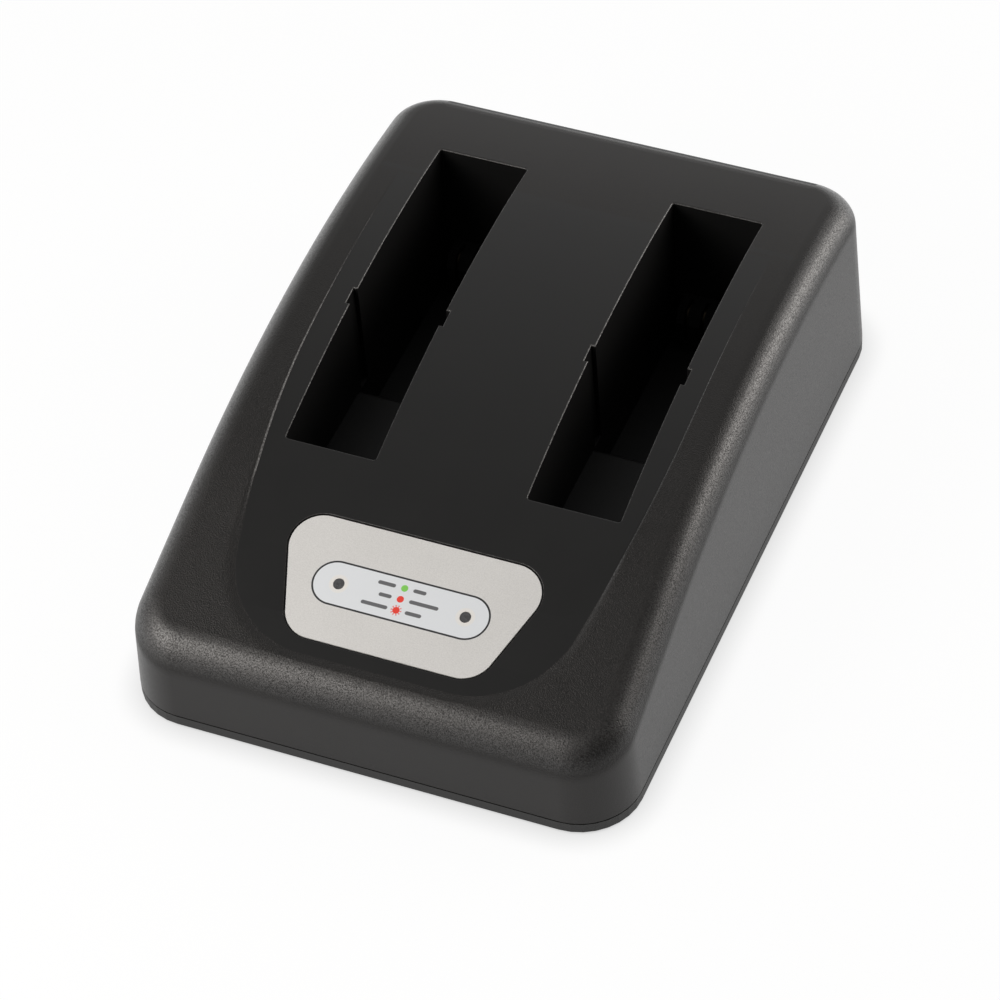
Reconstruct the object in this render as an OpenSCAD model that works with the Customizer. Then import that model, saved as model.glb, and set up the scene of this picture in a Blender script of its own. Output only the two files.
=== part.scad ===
// Desktop battery charger with two deep bays and a sloping label panel.
// X runs across the front, Y runs from front to rear, Z is up.
// The origin is on the table under the middle of the case.

/* [Case] */
// Width of the case at its parting line
case_w = 148.5; // [145:0.5:180]
// Depth of the case at its parting line
case_d = 214.2; // [212:0.2:240]
// Height of the crown of the arched top above the table
case_h = 60.8; // [58:0.1:78]
// Radius of the arched top, seen from the side
arch_r = 342; // [300:1:380]
// Distance of the crown from the front wall
crown_front = 155.5; // [150:0.5:170]
// Length of the straight slope at the front of the top
slope_len = 50; // [46:0.5:54]
// Radius of the case corners in plan
corner_r = 17.5; // [15:0.5:22]
// Radius of the soft shoulder round the top
shoulder_r = 9; // [7:0.5:12]
// Draft angle of the outer walls
wall_draft = 2.4; // [1:0.1:3]
// Wall thickness of the top moulding
wall = 2.4; // [1.8:0.1:3]
// Chamfer of the top moulding's lower edge, seen as a line at the parting
parting_break = 0.3; // [0.1:0.05:0.5]

/* [Panel] */
// Half width of the smooth panel between its straight sides
panel_half = 57.2; // [54:0.1:60]
// Radius of the long curve of the panel's sides
panel_side_r = 370; // [300:1:450]
// Radius of the panel's front corners
panel_corner_r = 29; // [24:0.5:32]
// Distance of the panel's front edge from the front wall
panel_front = 11.2; // [10.5:0.1:14]
// Depth of the panel's step at the front
panel_step = 0.6; // [0.3:0.05:1]
// Distance from the rear wall at which the step has faded out
fade_back = 45; // [40:1:55]
// Length over which the step fades out
fade_len = 100; // [60:1:110]

/* [Label] */
// Half width of the label between its upper corners, measured before rounding
label_top_half = 40.4; // [36:0.1:44]
// Half width of the label between its lower corners, measured before rounding
label_low_half = 28.2; // [24:0.1:32]
// Length of the label along the slope
label_len = 36.2; // [30:0.1:38]
// Distance of the label's lower edge from the front wall, along the table
label_front = 15.8; // [14:0.1:20]
// Radius of the label's corners
label_r = 9; // [4:0.5:12]
// Thickness of the label plate
label_t = 0.5; // [0.3:0.05:0.8]
// Depth of the label's face under the panel
label_sunk = 0.1; // [0.05:0.05:0.3]
// Half of the distance between the two indicator windows
window_x = 18.7; // [15:0.1:20]
// Distance of the indicator windows from the front wall
window_y = 32.5; // [28:0.1:38]
// Radius of a light pipe
pipe_r = 1.5; // [1.2:0.1:2]
// Clearance round a light pipe
pipe_gap = 0.1; // [0.05:0.05:0.2]
// Length of the guide tube under the skin
pipe_guide = 9; // [5:0.5:12]

/* [Bays] */
// Distance of each bay's centre from the middle
bay_x = 36.25; // [36:0.05:40]
// Width of a bay at its mouth
bay_w = 27.2; // [24:0.1:29]
// Length of a bay at its mouth
bay_len = 113.9; // [104:0.1:118]
// Distance of the bays' front edge from the front wall
bay_front = 69.25; // [66:0.05:74]
// Length of the ledge in the front of a bay
ledge_len = 46.9; // [40:0.05:54]
// Height of the ledge above the deep floor
ledge_h = 12.6; // [8:0.1:20]
// Radius of the ledge's rear edge
ledge_r = 2; // [1:0.5:4]
// Thickness of the bay walls and floors
bay_wall = 2; // [1.6:0.1:2.4]
// Draft angle of the bay walls
bay_draft = 0.5; // [0.2:0.1:1]
// Chamfer round the mouth of a bay
mouth_break = 0.4; // [0.2:0.05:0.8]
// Length of a key groove along the bay
key_len = 5.5; // [3:0.1:8]
// Depth of a key groove in the bay wall
key_depth = 1.2; // [0.6:0.1:1.4]

/* [Base] */
// Height by which the feet stand proud of the base
foot_proud = 0.6; // [0.4:0.1:2]
// Height of the base's visible rim
base_rim = 3.4; // [2.6:0.1:5]
// Thickness of the base floor
base_t = 2.4; // [2:0.1:2.6]
// Chamfer of the base's lower edge
base_chamfer = 0.3; // [0.2:0.1:1.5]
// Height of the locating lip above the parting line
lip_h = 3; // [2:0.1:4]
// Thickness of the locating lip
lip_t = 1.6; // [1.2:0.1:2]
// Clearance between the lip and the top moulding
lip_gap = 0.25; // [0.15:0.05:0.4]
// Radius of a rubber foot
foot_r = 6; // [5:0.5:7]
// Depth of the recess that holds a foot
foot_seat = 1; // [0.6:0.1:1.2]
// Clearance round a foot
foot_gap = 0.2; // [0.1:0.05:0.3]
// Distance of the feet from the side walls
foot_side = 24; // [20:0.5:28]
// Distance of the feet from the front and rear walls
foot_end = 23.5; // [20:0.5:28]
// Width of a vent slot
vent_w = 2.4; // [2:0.1:3]
// Length of a vent slot
vent_len = 26; // [20:1:34]
// Spacing of the vent slots
vent_pitch = 5.5; // [5:0.5:7]
// Number of vent slots on each side
vent_count = 7; // [4:1:8]

// Radius by which a foot narrows towards the table
foot_taper = 1; // [0.4:0.1:1.5]

/* [Screws] */
// Distance of the case screws from the side walls
screw_side = 11.2; // [10.5:0.1:13]
// Distance of the case screws from the front and rear walls
screw_end = 11.2; // [10.5:0.1:13]
// Radius of a case screw's shank
screw_r = 1.4; // [1.2:0.1:1.6]
// Length of a case screw's shank
screw_len = 12; // [10:0.5:14]
// Radius of a case screw's head
screw_head_r = 2.8; // [2.4:0.1:3]
// Height of a case screw's head
screw_head_h = 1.8; // [1.4:0.1:2.2]
// Wall of plastic round a case screw
boss_wall = 2.6; // [2:0.1:3]
// Height of a screw pad above the base floor
pad_h = 3.0; // [2.2:0.1:3.4]
// Radius of a board screw's shank
board_screw_r = 1.1; // [0.9:0.1:1.3]
// Length of a board screw under its head
board_screw_len = 4.4; // [3.6:0.1:4.8]
// Radius of a board screw's head
board_screw_head_r = 2.4; // [2:0.1:2.8]
// Height of a board screw's head
board_screw_head_h = 1.5; // [1.2:0.1:2]
// Clearance round every screw shank in its pilot hole
screw_gap = 0.05; // [0.03:0.01:0.1]
// Clearance round every screw head and through hole
head_gap = 0.3; // [0.2:0.05:0.5]
// Wall of plastic round a screw pad, beyond the boss that stands on it
pad_wall = 0.8; // [0.4:0.1:1.2]
// Length of a screw's chamfered tip
tip_len = 0.6; // [0.3:0.1:1]

/* [Board] */
// Height of the board's posts above the base floor
post_h = 3.6; // [2.8:0.1:4]
// Radius of a board post
post_r = 3.2; // [2.8:0.1:4]
// Thickness of the board
board_t = 1.6; // [1:0.1:2]
// Distance of the board from the side walls
board_side = 12.2; // [11:0.1:13]
// Distance of the board from the front and rear walls
board_end = 16; // [15.5:0.1:20]
// Radius of the board's corners
board_r = 3; // [1:0.5:5]
// Distance of a board screw from the board's edges
board_screw_edge = 4; // [3.5:0.1:5]
// Clearance between the board and the bay floors
bay_gap = 1.2; // [0.8:0.1:2]

// Width of the board's tongue beyond the inlet on each side
tongue_side = 2; // [1:0.1:4]
// Clearance between the tongue and the locating lip
tongue_gap = 1; // [0.5:0.1:2]
// Width of an indicator lamp
led_w = 3.5; // [2.8:0.1:4]
// Depth of an indicator lamp
led_d = 2.8; // [2:0.1:3.2]
// Height of an indicator lamp
led_h = 1.9; // [1.2:0.1:2.4]
// Radius of an indicator lamp's recessed lens
led_r = 1.1; // [0.8:0.1:1.3]
// Depth of the recessed lens
led_sunk = 0.3; // [0.1:0.1:0.5]

/* [Contacts] */
// Width of a contact block
block_w = 21; // [18:0.1:23]
// Depth of a contact block
block_d = 9; // [7:0.1:12]
// Height of a contact block
block_h = 14; // [10:0.1:20]
// Clearance between a contact block and the rear of its bay
block_gap = 0.3; // [0.2:0.05:0.6]
// Number of contact blades in a block
blade_count = 4; // [2:1:4]
// Spacing of the contact blades
blade_pitch = 5; // [4.5:0.1:5.5]
// Thickness of a contact blade
blade_t = 0.8; // [0.5:0.05:1]
// Depth of a contact blade
blade_d = 5; // [3:0.1:5.5]
// Clearance on each side of a contact blade
blade_gap = 0.2; // [0.1:0.05:0.4]
// Height of the blades' rounded tops under the top of the block
blade_sunk = 1; // [0.5:0.1:2]
// Depth of the sloping lead-in on top of a contact block
lead_in_d = 2; // [1:0.1:4]
// Height of the sloping lead-in
lead_in_h = 4; // [2:0.1:6]
// Height of a contact block's closed foot under its blade slots
block_foot = 3; // [2:0.1:5]

/* [Mains inlet] */
// Width of the inlet body
inlet_w = 21; // [19:0.1:24]
// Depth of the inlet body
inlet_d = 22; // [18:0.1:24]
// Height of the inlet body
inlet_h = 13; // [11:0.1:15]
// Depth of the socket
socket_d = 12; // [10:0.1:13]
// Radius of the socket's two round ends
socket_r = 4; // [3.9:0.05:4.3]
// Height of the socket's waist
socket_waist = 5.6; // [5:0.1:6.4]
// Distance between the two pins
pin_pitch = 8.6; // [8.2:0.1:9]
// Radius of a pin
pin_r = 1.2; // [1:0.05:1.4]
// Free length of a pin
pin_len = 9.5; // [8:0.1:10]
// Length of a pin's root in the inlet body
pin_root = 4; // [3:0.1:6]
// Radius of a pin's root
root_r = 0.9; // [0.6:0.05:1]
// Length of a pin's chamfered tip
pin_tip = 0.4; // [0.2:0.1:0.6]
// Depth of the inlet's face inside the rear wall
inlet_sunk = 0.6; // [0.3:0.1:1.2]
// Clearance round the inlet in the rear wall
inlet_gap = 0.2; // [0.1:0.05:0.4]

/* [Input parts] */
// Clear distance between neighbouring parts in the middle channel
part_gap = 4; // [3:0.1:5]
// Length of the fuse
fuse_len = 20; // [18:0.5:22]
// Radius of the fuse's end caps
fuse_r = 2.6; // [2.4:0.1:3.2]
// Length of a fuse cap
fuse_cap = 5; // [4:0.5:6]
// Height of the fuse's axis above the board
fuse_axis = 5.5; // [4.6:0.1:7]
// Depth of the fuse holder
holder_d = 8; // [7:0.1:10]
// Height of the fuse holder's foot
holder_h = 2; // [1.5:0.1:2.4]
// Width of the filter capacitor
filter_w = 17.5; // [13:0.5:20]
// Depth of the filter capacitor
filter_d = 8; // [6:0.5:9]
// Height of the filter capacitor
filter_h = 14; // [11:0.5:18]
// Outer radius of the line choke
choke_r = 9; // [8:0.5:10]
// Bore radius of the line choke
choke_bore = 4.2; // [3:0.1:4.6]
// Width of the choke's core
choke_t = 8; // [6:0.5:9]
// Thickness of the choke's windings over the core
choke_wire = 1; // [0.6:0.1:1.4]
// Height of the choke's carrier
carrier_h = 2; // [1.5:0.1:3]
// Width of the bridge rectifier
bridge_w = 19; // [16:0.5:22]
// Height of the bridge rectifier's body
bridge_h = 10.5; // [9:0.5:13]
// Thickness of the bridge rectifier's body
bridge_t = 4.4; // [3.6:0.1:5]
// Height of the bridge rectifier's body above the board
bridge_lift = 3; // [2:0.1:4]
// Radius of the bulk capacitor
bulk_r = 8; // [6.5:0.5:8.5]
// Height of the bulk capacitor
bulk_h = 30; // [22:0.5:34]
// Distance of the bulk capacitor from the middle
bulk_x = 6; // [5:0.1:8]

/* [Transformer] */
// Width of the transformer core
core_w = 26; // [22:0.5:30]
// Depth of the transformer core
core_d = 7; // [5:0.5:9]
// Height of the transformer core
core_h = 22; // [18:0.5:26]
// Width of the core's middle leg
core_leg = 7; // [5:0.5:8]
// Thickness of the core's outer legs and yokes
core_yoke = 3.5; // [2.5:0.1:4]
// Clearance between the coil and the core
core_gap = 0.2; // [0.1:0.05:0.4]
// Depth of the coil and its bobbin
bobbin_d = 18; // [14:0.5:20]
// Height of the bobbin's foot
bobbin_h = 3; // [2:0.1:4]
// Distance by which the core overhangs the bobbin's foot on each side
bobbin_in = 1; // [0.5:0.1:2]
// Radius of the coil's corners
coil_r = 2; // [1:0.1:3]

/* [Heat sinks] */
// Width of a heat sink
sink_w = 26; // [20:0.5:28]
// Height of a heat sink
sink_h = 26; // [20:0.5:30]
// Thickness of a heat sink's plate
sink_t = 2; // [1.5:0.1:2.5]
// Number of fins
fin_count = 5; // [3:1:7]
// Thickness of a fin
fin_t = 1.2; // [0.8:0.1:1.6]
// Length of a fin
fin_d = 4; // [3:0.1:5]
// Distance of the input heat sink from the middle
input_sink_x = 12.5; // [11:0.1:13]
// Distance of the output heat sink from the middle
output_sink_x = 34; // [28:0.5:40]
// Distance of the output heat sink from the board's front edge
output_sink_y = 34; // [30:0.5:38]
// Width of a tab package
tab_w = 10; // [8:0.1:11]
// Thickness of a tab package
tab_d = 4.5; // [4:0.1:5]
// Height of a tab package's body
tab_h = 9; // [8:0.1:10]
// Height of the metal tab over the body
tab_over = 6.5; // [5:0.1:7]
// Thickness of the metal tab
tab_t = 1.3; // [1:0.1:1.6]
// Height of a tab package above the board
tab_lift = 5; // [3:0.1:6]
// Spacing of a tab package's leads
lead_pitch = 2.54; // [2.5:0.01:2.6]
// Radius of a tab screw's head
tab_screw_r = 2.7; // [2.4:0.1:3]
// Height of a tab screw's head
tab_screw_h = 1.8; // [1.4:0.1:2.2]

/* [Output parts] */
// Radius of an output capacitor
out_r = 5; // [4:0.1:5.4]
// Height of an output capacitor
out_h = 16; // [12:0.5:20]
// Clear distance between two output capacitors
out_gap = 2; // [1:0.1:3]
// Distance of the front capacitors from the board's front edge
out_y = 14; // [10:0.5:18]
// Depth of the rolled groove of a can
can_groove = 0.5; // [0.3:0.05:0.8]
// Mean radius of the inductor's ring
ring_r = 7; // [6:0.1:8]
// Thickness of the inductor's wound ring
ring_t = 8; // [6:0.1:10]
// Height of the inductor
ring_h = 8; // [6:0.1:10]
// Distance of the inductor from the middle
ring_x = 34; // [30:0.5:40]
// Distance of the inductor from the board's front edge
ring_y = 28; // [26:0.5:34]
// Width of the charge controller
chip_w = 10; // [8:0.1:12]
// Depth of the charge controller
chip_d = 7.5; // [5:0.1:8]
// Height of the charge controller
chip_h = 2.2; // [1.4:0.1:3]
// Distance of the charge controller from the board's front edge
chip_y = 10; // [8:0.5:12]
// Width of the optocoupler
opto_w = 5; // [4:0.1:6]
// Depth of the optocoupler
opto_d = 6.4; // [5:0.1:7]
// Height of the optocoupler
opto_h = 3.4; // [3:0.1:4]
// Radius of a sense resistor
sense_r = 2; // [1.5:0.1:2.5]
// Length of a sense resistor
sense_len = 9; // [7:0.5:11]
// Distance between the two sense resistors
sense_pitch = 12; // [8:0.5:14]
// Distance of the sense resistors from the board's front edge
sense_y = 12; // [10:0.5:14]

/* [Hidden] */

// Overshoot of cuts past a face
cut = 1;
case_black = "#2b2a29";
deep_black = "#1b1b1b";
board_green = "#2e6b3f";
contact_gold = "#c9a24a";
steel = "#b9bcc0";
aluminium = "#c4c7ca";

// Heights above the table
floor_z = foot_proud + base_t;
parting_z = foot_proud + base_rim;
board_z = floor_z + post_h;
board_top = board_z + board_t;
deep_z = board_top + bay_gap + bay_wall;
ledge_z = deep_z + ledge_h;
pad_z = floor_z + pad_h;

// Side view of the top: a straight slope that runs into a long arch
crown_y = -case_d / 2 + crown_front;
arch_z = case_h - arch_r;
slope_y = -case_d / 2 + slope_len;
slope_a = asin((crown_y - slope_y) / arch_r);
slope_z = arch_z + arch_r * cos(slope_a);
fade_y = case_d / 2 - fade_back;

function panel_z(y) = y < slope_y
    ? slope_z + (y - slope_y) * tan(slope_a)
    : arch_z + sqrt(arch_r * arch_r - pow(y - crown_y, 2));
function rim_z(y) = panel_z(y) + panel_step * min(1, (fade_y - y) / fade_len);

// Plan positions
bay_y0 = -case_d / 2 + bay_front;
bay_y1 = bay_y0 + bay_len;
ledge_y = bay_y0 + ledge_len;
bay_taper = tan(bay_draft) * (case_h - deep_z);
block_y = bay_y1 - bay_taper - block_gap;
screw_x = case_w / 2 - screw_side;
screw_y = case_d / 2 - screw_end;
foot_x = case_w / 2 - foot_side;
foot_y = case_d / 2 - foot_end;
board_x = case_w / 2 - board_side;
board_y = case_d / 2 - board_end;
board_screw_x = board_x - board_screw_edge;
board_screw_y = board_y - board_screw_edge;
pipe_y = -case_d / 2 + window_y;
inlet_y = case_d / 2 - inlet_sunk;
pin_z = board_top + inlet_h / 2;
boss_r = screw_r + boss_wall;

// Spokes of half a plan ring, from the front middle to the rear middle: centre, then direction
function spokes(steps, stations) =
    let (x = case_w / 2 - corner_r, y = case_d / 2 - corner_r)
    concat(
        [for (i = [0:steps]) [x, -y, sin(90 * i / steps), -cos(90 * i / steps)]],
        [for (i = [1:stations - 1]) [x, -y + 2 * y * i / stations, 1, 0]],
        [for (i = [0:steps]) [x, y, cos(90 * i / steps), sin(90 * i / steps)]]);

// A point of a ring, at an inset from the parting outline
function ring_point(s, inset) =
    let (r = max(corner_r - inset, 0.05))
    [s[0] + r * s[2], s[1] + r * s[3]];

function mirrored(half) =
    concat(half, [for (i = [len(half) - 1:-1:0]) [-half[i][0], half[i][1], half[i][2]]]);

// One ring of the case form at an angle round the shoulder, with a skin taken off
function shoulder_ring(spoke_list, skin, turn) = mirrored([
    for (s = spoke_list)
        let (r = max(shoulder_r - skin, 1),
            wall_top = rim_z(s[1] + corner_r * s[3]) - skin - r,
            inset = skin + tan(wall_draft) * (wall_top - parting_z) + r * (1 - cos(turn)),
            p = ring_point(s, inset))
        [p[0], p[1], rim_z(p[1]) - skin - r * (1 - sin(turn))]]);

function flat_ring(spoke_list, inset, z) = mirrored([
    for (s = spoke_list)
        let (p = ring_point(s, inset))
        [p[0], p[1], z]]);

// Solid through a stack of rings with equal numbers of points, mirrored left to right
module ring_loft(rings, flat_foot = true) {
    n = len(rings[0]);
    top = (len(rings) - 1) * n;
    foot = flat_foot ? [[for (i = [0:n - 1]) i]] : [for (i = [0:n / 2 - 2]) [i, i + 1, n - 2 - i, n - 1 - i]];
    sides = [for (k = [0:len(rings) - 2], i = [0:n - 1])
        let (a = k * n + i, b = a + n, c = k * n + n + (i + 1) % n, d = k * n + (i + 1) % n)
        each [[a, b, c], [a, c, d]]];
    caps = [for (i = [0:n / 2 - 2])
        [top + i, top + n - 1 - i, top + n - 2 - i, top + i + 1]];
    polyhedron([for (r = rings) each r], concat(foot, sides, caps));
}

// The case form: drafted walls, soft shoulder and arched top, with a skin taken off
module case_form(skin, from_z, lower_break, corner_steps, shoulder_steps, stations) {
    s = spokes(corner_steps, stations);
    ring_loft(concat(
        [flat_ring(s, skin + lower_break, from_z), flat_ring(s, skin, from_z + max(lower_break, cut))],
        [for (k = [0:shoulder_steps]) shoulder_ring(s, skin, 90 * k / shoulder_steps)]));
}

module rounded_rect(half_x, half_y, r) {
    square([2 * half_x - 2 * r, 2 * half_y], center = true);
    square([2 * half_x, 2 * half_y - 2 * r], center = true);
    for (x = [-1, 1], y = [-1, 1])
        translate([x * (half_x - r), y * (half_y - r)]) circle(r, $fn = 48);
}

// Extrudes a side view, given as Y and Z, across the case
module across(width) {
    rotate([90, 0, 90]) linear_extrude(width, center = true) children();
}

// Places children on the sloping front of the panel, with Z square to it
module on_slope() {
    translate([0, slope_y, slope_z]) rotate([slope_a, 0, 0]) children();
}

module at_corners(x, y) {
    for (i = [-1, 1], j = [-1, 1]) translate([i * x, j * y, 0]) children();
}

module bay_tub(side) {
    half = bay_w / 2 + bay_wall;
    translate([side * bay_x - half, bay_y0 - bay_wall, ledge_z - bay_wall])
        cube([2 * half, bay_len + 2 * bay_wall, case_h]);
    translate([side * bay_x - half, ledge_y - bay_wall, deep_z - bay_wall])
        cube([2 * half, bay_len - ledge_len + 2 * bay_wall, case_h]);
}

// The side view of a bay: a ledge with a rounded edge, then the deep floor
function bay_profile() = concat(
    [[bay_y0 - cut, case_h + cut], [bay_y0 - cut, ledge_z]],
    [for (a = [0:15:90])
        [ledge_y - ledge_r + ledge_r * sin(a), ledge_z - ledge_r + ledge_r * cos(a)]],
    [[ledge_y, deep_z], [bay_y1 + cut, deep_z], [bay_y1 + cut, case_h + cut]]);

// A block whose four sides lean inwards towards its foot
module drafted_block(half_x, y0, y1, z0, z1, draft) {
    t = tan(draft) * (z1 - z0);
    outline = function (e, z) [[-half_x + e, y0 + e, z], [half_x - e, y0 + e, z],
        [half_x - e, y1 - e, z], [-half_x + e, y1 - e, z]];
    polyhedron(concat(outline(t, z0), outline(0, z1)), [[0, 1, 2, 3], [7, 6, 5, 4],
        [0, 4, 5, 1], [1, 5, 6, 2], [2, 6, 7, 3], [3, 7, 4, 0]]);
}

module bay_pocket(side) {
    flare = tan(bay_draft) * cut;
    translate([side * bay_x, 0, 0]) {
        intersection() {
            across(bay_w + 2 * cut) polygon(bay_profile());
            drafted_block(bay_w / 2 + flare, bay_y0 - flare, bay_y1 + flare,
                deep_z - cut, case_h + cut, bay_draft);
        }
        for (w = [-1, 1])
            translate([w * (bay_w / 2 + key_depth / 2 - cut / 2), ledge_y + key_len / 2,
                (ledge_z + case_h + cut) / 2])
                cube([key_depth + cut, key_len, case_h + cut - ledge_z], center = true);
    }
}

// Half of a bay's mouth with its key groove, from front to rear, at a flare and a lift over the top
function mouth_half(flare, lift) =
    let (side = bay_w / 2 + flare,
        y_0 = bay_y0 - flare,
        y_1 = bay_y1 + flare,
        ease = mouth_break / 4,
        key_0 = ledge_y - flare,
        key_1 = ledge_y + key_len + flare,
        outline = concat(
            [for (i = [0:9]) [side, y_0 + (key_0 - ease - y_0) * i / 10]],
            [[side, key_0 - ease], [side + key_depth, key_0]],
            [[side + key_depth, key_1], [side, key_1 + ease]],
            [for (i = [1:14]) [side, key_1 + ease + (y_1 - key_1 - ease) * i / 14]]))
    [for (p = outline) [p[0], p[1], panel_z(p[1]) + lift]];

// Breaks the edge round a bay's mouth, all along the arched top
module mouth_cut(side) {
    translate([side * bay_x, 0, 0]) ring_loft([
        mirrored(mouth_half(-mouth_break, -2 * mouth_break)),
        mirrored(mouth_half(mouth_break, 0)),
        mirrored(mouth_half(2 * mouth_break, mouth_break))], false);
}

// Outline of the smooth panel: long side curves, round front corners and a straight front
function panel_outline() =
    let (front_y = -case_d / 2 + panel_front,
        side_cx = panel_half - panel_side_r,
        corner_cy = front_y + panel_corner_r,
        corner_cx = side_cx + sqrt(pow(panel_side_r - panel_corner_r, 2) - pow(corner_cy, 2)),
        side_a = asin(-corner_cy / (panel_side_r - panel_corner_r)),
        half = concat(
            [for (i = [0:8]) let (a = side_a + (90 - side_a) * (1 - i / 8))
                [corner_cx + panel_corner_r * cos(a), corner_cy - panel_corner_r * sin(a)]],
            [for (i = [1:6]) let (a = side_a * (1 - i / 6))
                [side_cx + panel_side_r * cos(a), -panel_side_r * sin(a)]],
            [[panel_half, fade_y + fade_len / 8]]))
    concat(half, [for (i = [len(half) - 1:-1:0]) [-half[i][0], half[i][1]]]);

// What is taken off the top inside the panel's outline
module panel_cut() {
    from_y = -case_d / 2 - cut;
    rear_y = case_d / 2 + cut;
    stations = 26;
    difference() {
        translate([0, 0, parting_z]) linear_extrude(case_h) polygon(panel_outline());
        across(case_w) polygon(concat([[from_y, 0], [from_y, panel_z(from_y)]],
            [for (i = [0:stations])
                let (y = slope_y + (rear_y - slope_y) * i / stations) [y, panel_z(y)]],
            [[rear_y, 0]]));
    }
}

// Outline of the label: a trapezium whose corners are rounded inside its straight edges
module label_outline(gap) {
    low_y = (-case_d / 2 + label_front - slope_y) / cos(slope_a);
    lean = (label_top_half - label_low_half) / label_len;
    hull() for (s = [-1, 1], v = [label_r, label_len - label_r])
        translate([s * (label_low_half + lean * v - label_r * sqrt(1 + lean * lean)), low_y + v])
            circle(label_r + gap, $fn = 48);
}

module pipe_holes() {
    for (s = [-1, 1])
        translate([s * window_x, pipe_y, board_top]) cylinder(h = case_h, r = pipe_r + pipe_gap, $fn = 32);
}

module top_shell() {
    color(case_black) difference() {
        case_form(0, parting_z, parting_break, 12, 12, 40);
        difference() {
            case_form(wall, parting_z - cut, 0, 6, 6, 24);
            for (s = [-1, 1]) bay_tub(s);
            at_corners(screw_x, screw_y) translate([0, 0, pad_z]) cylinder(h = case_h, r = boss_r, $fn = 32);
            for (s = [-1, 1])
                translate([s * window_x, pipe_y, panel_z(pipe_y) - wall - pipe_guide])
                    cylinder(h = case_h, r = pipe_r + pipe_gap + wall / 2, $fn = 32);
        }
        for (s = [-1, 1]) bay_pocket(s);
        for (s = [-1, 1]) mouth_cut(s);
        for (s = [-1, 1]) blade_slots(s, deep_z - bay_wall - cut, bay_wall + 2 * cut);
        panel_cut();
        on_slope() translate([0, 0, -label_t - label_sunk]) linear_extrude(wall) label_outline(0.1);
        pipe_holes();
        at_corners(screw_x, screw_y)
            translate([0, 0, pad_z - cut]) cylinder(h = screw_len + cut, r = screw_r + screw_gap, $fn = 32);
        inlet_half = inlet_w / 2 + inlet_gap;
        translate([-inlet_half, case_d / 2 - 2 * wall, parting_z - cut])
            cube([2 * inlet_half, 3 * wall, board_top + inlet_h + inlet_gap - parting_z + cut]);
    }
}

module base_tray() {
    s = spokes(8, 2);
    difference() {
        ring_loft([flat_ring(s, base_chamfer, foot_proud),
            flat_ring(s, 0, foot_proud + base_chamfer), flat_ring(s, 0, parting_z)]);
        inner = wall + lip_gap + lip_t;
        translate([0, 0, floor_z]) linear_extrude(base_rim)
            rounded_rect(case_w / 2 - inner, case_d / 2 - inner, corner_r - inner);
    }
}

module locating_lip() {
    outer = wall + lip_gap + tan(wall_draft) * lip_h;
    inner = outer + lip_t;
    translate([0, 0, floor_z]) linear_extrude(parting_z + lip_h - floor_z) difference() {
        rounded_rect(case_w / 2 - outer, case_d / 2 - outer, corner_r - outer);
        rounded_rect(case_w / 2 - inner, case_d / 2 - inner, corner_r - inner);
    }
}

module vent_slot() {
    translate([0, 0, foot_proud - cut]) linear_extrude(base_t + 2 * cut) {
        square([vent_w, vent_len - vent_w], center = true);
        for (y = [-1, 1]) translate([0, y * (vent_len - vent_w) / 2]) circle(vent_w / 2, $fn = 24);
    }
}

module base_plate() {
    sill_half = inlet_w / 2;
    vent_y = -case_d / 2 + bay_front;
    color(case_black) difference() {
        union() {
            base_tray();
            locating_lip();
            at_corners(screw_x, screw_y)
                translate([0, 0, foot_proud]) cylinder(h = pad_z - foot_proud, r = boss_r + pad_wall, $fn = 32);
            at_corners(board_screw_x, board_screw_y)
                translate([0, 0, foot_proud]) cylinder(h = board_z - foot_proud, r = post_r, $fn = 32);
            translate([-sill_half, case_d / 2 - wall - lip_gap - lip_t, floor_z])
                cube([inlet_w, lip_t + lip_gap + wall - inlet_sunk, board_top - inlet_gap - floor_z]);
        }
        at_corners(screw_x, screw_y) translate([0, 0, foot_proud - cut]) {
            cylinder(h = screw_head_h + head_gap + cut, r = screw_head_r + head_gap, $fn = 32);
            cylinder(h = pad_z - foot_proud + 2 * cut, r = screw_r + head_gap, $fn = 32);
        }
        at_corners(board_screw_x, board_screw_y)
            translate([0, 0, board_top - board_screw_len - head_gap])
                cylinder(h = board_screw_len, r = board_screw_r + screw_gap, $fn = 32);
        at_corners(foot_x, foot_y) translate([0, 0, foot_proud - cut])
            cylinder(h = foot_seat + cut, r = foot_r + foot_gap, $fn = 48);
        for (s = [-1, 1], i = [0:vent_count - 1])
            translate([s * (window_x + vent_pitch * (i - (vent_count - 1) / 2)), vent_y, 0]) vent_slot();
    }
}

module label_plate() {
    color("silver") difference() {
        on_slope() translate([0, 0, -label_t - label_sunk]) linear_extrude(label_t) label_outline(0);
        pipe_holes();
    }
}

module light_pipe(side) {
    color("dimgray") difference() {
        translate([side * window_x, pipe_y, board_top + led_h]) cylinder(h = case_h, r = pipe_r, $fn = 32);
        on_slope() translate([-case_w / 2, -case_d / 2, -label_sunk]) cube([case_w, case_d, 2 * case_h]);
    }
}

module indicator_leds() {
    color("white") for (s = [-1, 1])
        translate([s * window_x, pipe_y, board_top + led_h / 2]) {
            difference() {
                cube([led_w, led_d, led_h], center = true);
                translate([0, 0, led_h / 2 - led_sunk]) cylinder(h = cut, r = led_r, $fn = 24);
            }
        }
}

// Tongue of the board that carries the inlet
tongue_half = inlet_w / 2 + tongue_side;
tongue_end = case_d / 2 - wall - lip_gap - lip_t - tongue_gap;

module main_board() {
    color(board_green) translate([0, 0, board_z]) linear_extrude(board_t) difference() {
        union() {
            rounded_rect(board_x, board_y, board_r);
            translate([-tongue_half, 0]) square([2 * tongue_half, tongue_end]);
        }
        for (x = [-1, 1], y = [-1, 1])
            translate([x * board_screw_x, y * board_screw_y]) circle(board_screw_r + head_gap, $fn = 32);
    }
}

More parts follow.
